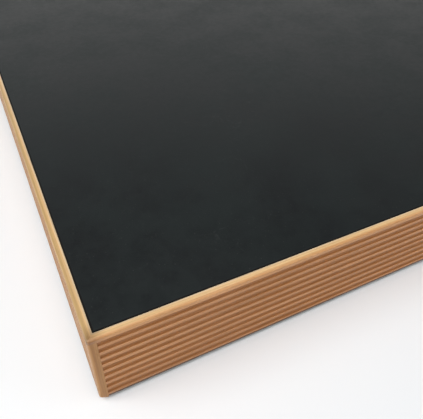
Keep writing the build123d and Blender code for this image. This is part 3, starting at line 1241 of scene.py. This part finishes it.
@dataclass
class Facing:
    """The hardwood all round: edging, grooved side boards and corner posts."""

    face_distance: float
    foot_low: float
    edging_width: float
    board_tones: ClassVar[dict[Run, tuple[Colour, Colour]]] = {
        Run.ALONG_X: ((0.6, 0.287, 0.122), (0.545, 0.25, 0.102)),
        Run.ALONG_Y: ((0.47, 0.292, 0.148), (0.415, 0.247, 0.118)),
    }
    # painted shade on the edging's outer face for each grain run: the colour it is multiplied by,
    # and how far in it reaches
    edging_face_shade: ClassVar[dict[Run, tuple[Colour, float]]] = {
        Run.ALONG_X: ((0.83, 0.6, 0.44), 0.0034),
        Run.ALONG_Y: ((0.58, 0.56, 0.44), 0.007),
    }

    def edging_wood(self, run: Run) -> bpy.types.Material:
        """Light lacquered hardwood of the edging.

        Args:
            run: the way its grain runs.

        Returns:
            The finished material.
        """
        face_shade, face_reach = self.edging_face_shade[run]
        return EdgingTimber(
            name=f"edging hardwood {run.name.lower()}",
            run=run,
            coat=0.2,
            coat_roughness=0.22,
            early=(0.715, 0.465, 0.22),
            late=(0.66, 0.417, 0.189),
            worn=(0.79, 0.54, 0.28),
            wear=0.2,
            ring_spacing=0.0032,
            fibre_strength=0.14,
            fleck_strength=0.25,
            face_distance=self.face_distance,
            width=self.edging_width,
            face_shade=face_shade,
            face_reach=face_reach,
        ).build()

    def post_wood(self) -> bpy.types.Material:
        """The hardwood of the corner posts, with its grain upright, coloured darker than the edging
        as painted shade on the upright faces.

        Returns:
            The finished material.
        """
        return Timber(
            name="post hardwood",
            run=Run.ALONG_Z,
            coat=0.1,
            coat_roughness=0.25,
            specular=0.25,
            # painted shade: darker colours than the edging's stand in for the lower light on the
            # upright posts
            early=(0.43, 0.207, 0.067),
            late=(0.374, 0.173, 0.054),
            worn=(0.55, 0.32, 0.15),
            ring_spacing=0.0046,
            fibre_strength=0.14,
            fleck_strength=0.25,
        ).build()

    def grooved(self, run: Run) -> bpy.types.Material:
        """Hardwood of the side boards, with painted shade in the grooves.

        Args:
            run: the way its grain runs.

        Returns:
            The finished material.
        """
        early, late = self.board_tones[run]
        return GroovedTimber(
            name=f"grooved hardwood {run.name.lower()}",
            run=run,
            coat=0.1,
            coat_roughness=0.25,
            specular=0.25,
            early=early,
            late=late,
            worn=early,
            wear=0.25,
            face_distance=self.face_distance,
            foot_low=self.foot_low,
        ).build()

    def build(self) -> None:
        """Makes the finishes and dresses the facing."""
        finishes: dict[str, bpy.types.Material] = {}
        for sides, run in ((LONG_SIDES, Run.ALONG_X), (CROSS_SIDES, Run.ALONG_Y)):
            edging, board = self.edging_wood(run), self.grooved(run)
            for side in sides:
                finishes[f"edging_{side}"] = edging
                finishes[f"side_board_{side}"] = board
        post = self.post_wood()
        for corner in CORNERS:
            finishes[f"corner_post_{corner}"] = post
        Assembly("facing", finishes).build()


@dataclass
class Platform:
    """Deck, frame and fixings."""

    plywood_low: float
    sheet_half: float

    def softwood(self, run: Run) -> bpy.types.Material:
        """Planed softwood with knots.

        Args:
            run: the way its grain runs.

        Returns:
            The finished material.
        """
        return Timber(
            name=f"planed softwood {run.name.lower()}",
            run=run,
            early=(0.72, 0.53, 0.31),
            late=(0.55, 0.32, 0.14),
            fleck=(0.22, 0.1, 0.04),
            worn=(0.76, 0.6, 0.4),
            ring_spacing=0.004,
            waviness=0.045,
            heart=(0.05, -0.12),
            fleck_strength=0.08,
            fibre_strength=0.12,
            knot_push=0.012,
            roughness=0.62,
            specular=0.35,
        ).build()

    def build(self) -> None:
        """Makes the finishes and dresses the deck, frame and fixings."""
        along_x, along_y = self.softwood(Run.ALONG_X), self.softwood(Run.ALONG_Y)
        steel = ZincSteel("zinc plated steel").build()
        film = FilmFacedSheet("black film faced sheet", specular=0.4, half=self.sheet_half)
        birch = Plywood(
            name="birch plywood",
            early=(0.71, 0.53, 0.33),
            late=(0.64, 0.45, 0.26),
            ring_spacing=0.014,
            waviness=0.22,
            heart=(0.3, 0.4),
            fleck_strength=0.22,
            fibre_strength=0.1,
            roughness=0.6,
            specular=0.35,
            low=self.plywood_low,
        ).build()
        finishes = {
            "deck_sheet": film.build(),
            "deck_plywood": birch,
            "joist_1": along_y,
            "joist_2": along_y,
            "deck_screws": steel,
            "frame_screws": steel,
            "block_screws": steel,
        }
        for side in LONG_SIDES:
            finishes[f"rail_{side}"] = along_x
        for side in CROSS_SIDES:
            finishes[f"rail_{side}"] = along_y
        for corner in CORNERS:
            finishes[f"corner_block_{corner}"] = along_x
            finishes[f"foot_insert_{corner}"] = steel
        Assembly("platform", finishes).build()
        nylon = Moulded("moulded black nylon").build()
        rubber = Moulded("moulded black rubber", base=(0.012, 0.012, 0.012), roughness=0.78).build()
        for corner in CORNERS:
            LevellingFoot(corner).build(steel, nylon, rubber)


@dataclass(frozen=True)
class Softbox:
    """A square or oblong light: where it hangs, what it points at, its size, power and tint."""

    name: str
    place: Triple
    target: Triple
    size: Pair
    watts: float
    colour: Colour = (1.0, 1.0, 1.0)

    def build(self) -> None:
        """Makes the light and hangs it."""
        data = bpy.data.lights.new(self.name, "AREA")
        data.shape = "RECTANGLE"
        data.size, data.size_y = self.size
        data.energy = self.watts
        data.color = self.colour
        light = bpy.data.objects.new(self.name, data)
        light.visible_camera = False
        bpy.context.scene.collection.objects.link(light)
        light.location = self.place
        light.rotation_mode = "QUATERNION"
        aim = Vector(self.target) - Vector(self.place)
        light.rotation_quaternion = aim.to_track_quat("-Z", "Y")


@dataclass
class Studio:
    """Pale floor and backdrop, soft light and the camera."""

    floor_half: float = 9.0
    floor_colour: Colour = (0.872, 0.892, 0.908)
    floor_spread: float = 1.03
    floor_roughness: float = 0.9
    sky: Colour = (0.97, 0.98, 1.0)
    sky_strength: float = 0.17
    backdrop_strength: float = 0.74
    fade: Band = (2.2, 6.5)
    fade_share: float = 0.8
    camera_place: Triple = (-0.63008, -0.92869, 0.57486)
    azimuth: float = -26.71
    elevation: float = 38.99
    roll: float = 0.81
    lens: float = 43.86
    sensor_width: float = 36.0
    shift: Pair = (-0.00503, -0.07975)
    softboxes: ClassVar[tuple[Softbox, ...]] = (
        Softbox("left softbox", (-3.2, -0.3, 3.0), (-0.2, 0, 0), (3.0, 3.0), 116.0),
        Softbox("overhead softbox", (-1.2, -1.8, 3.5), (-0.3, -0.4, 0), (3.0, 3.0), 72.0),
        Softbox(
            "window softbox", (2.0, 5.2, 1.6), (0.4, 0, 0.1), (12.0, 2.2), 92.0, (1.0, 1.0, 0.98),
        ),
        Softbox("right softbox", (3.2, -2.4, 1.8), (0.3, -0.3, 0), (2.5, 2.5), 26.0),
    )

    def build_floor(self) -> None:
        """A pale floor with a faint unevenness, which fades into the backdrop far from the object.

        The fade is the distance from the middle stepped over its band, and only the camera sees
        it, so that it lights nothing.
        """
        half = self.floor_half
        corners = ((-half, -half, 0), (half, -half, 0), (half, half, 0), (-half, half, 0))
        floor = make_piece("floor", np.array(corners, float), [[0, 1, 2, 3]])
        material = bpy.data.materials.new("pale floor")
        graph = Surface(material)
        clouds = graph.noise(graph.position, even(0.8, detail=3.0))
        paler = tuple(part * self.floor_spread for part in self.floor_colour)
        x, y, _ = graph.split(graph.position)
        glow = (0.0, self.backdrop_strength * self.fade_share)
        far = graph.ramp(graph.radius(x, y), self.fade, glow)
        seen = graph.node("LightPath").outputs["Is Camera Ray"]
        graph.feed(
            Base_Color=graph.mix(clouds, self.floor_colour, paler),
            Roughness=self.floor_roughness,
            Emission_Color=self.sky,
            Emission_Strength=graph.product(far, seen),
        )
        dress(floor, material)

    def build_camera(self) -> None:
        """The camera: it looks back along the direction of its azimuth and elevation."""
        turn, lift = math.radians(self.azimuth), math.radians(self.elevation)
        level = math.cos(lift)
        back = Vector((math.sin(turn) * level, -math.cos(turn) * level, math.sin(lift)))
        data = bpy.data.cameras.new("camera")
        data.sensor_width = self.sensor_width
        data.lens = self.lens
        data.shift_x, data.shift_y = self.shift
        camera = bpy.data.objects.new("camera", data)
        bpy.context.scene.collection.objects.link(camera)
        camera.location = self.camera_place
        camera.rotation_mode = "QUATERNION"
        aim = (-back).to_track_quat("-Z", "Y")
        camera.rotation_quaternion = aim @ Quaternion((0, 0, 1), math.radians(self.roll))
        bpy.context.scene.camera = camera

    def build_world(self) -> None:
        """Dim soft light from all round, with a pale backdrop beyond the floor."""
        world = bpy.data.worlds.new("studio")
        world.use_nodes = True
        bpy.context.scene.world = world
        nodes, links = world.node_tree.nodes, world.node_tree.links
        soft, backdrop = nodes["Background"], nodes.new("ShaderNodeBackground")
        for node, strength in ((soft, self.sky_strength), (backdrop, self.backdrop_strength)):
            node.inputs["Color"].default_value = (*self.sky, 1.0)
            node.inputs["Strength"].default_value = strength
        blend = nodes.new("ShaderNodeMixShader")
        links.new(nodes.new("ShaderNodeLightPath").outputs["Is Camera Ray"], blend.inputs[0])
        links.new(soft.outputs[0], blend.inputs[1])
        links.new(backdrop.outputs[0], blend.inputs[2])
        links.new(blend.outputs[0], nodes["World Output"].inputs["Surface"])

    def build(self) -> None:
        """Makes the floor, lights, sky and camera."""
        bpy.context.scene.view_settings.view_transform = "Standard"
        self.build_world()
        self.build_floor()
        for softbox in self.softboxes:
            softbox.build()
        self.build_camera()


def main() -> None:
    """Builds the studio, then each sub-assembly, and reports each piece."""
    logging.basicConfig(level=logging.INFO, format="%(name)s: %(message)s")
    Studio().build()
    edging_low, edging_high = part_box("edging_front")
    Facing(
        face_distance=cad_box[1].x,
        foot_low=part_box("side_board_front")[0].z,
        edging_width=edging_high.y - edging_low.y,
    ).build()
    Platform(
        plywood_low=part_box("deck_plywood")[0].z,
        sheet_half=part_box("deck_sheet")[1].x,
    ).build()


if __name__ == "__main__":
    main()
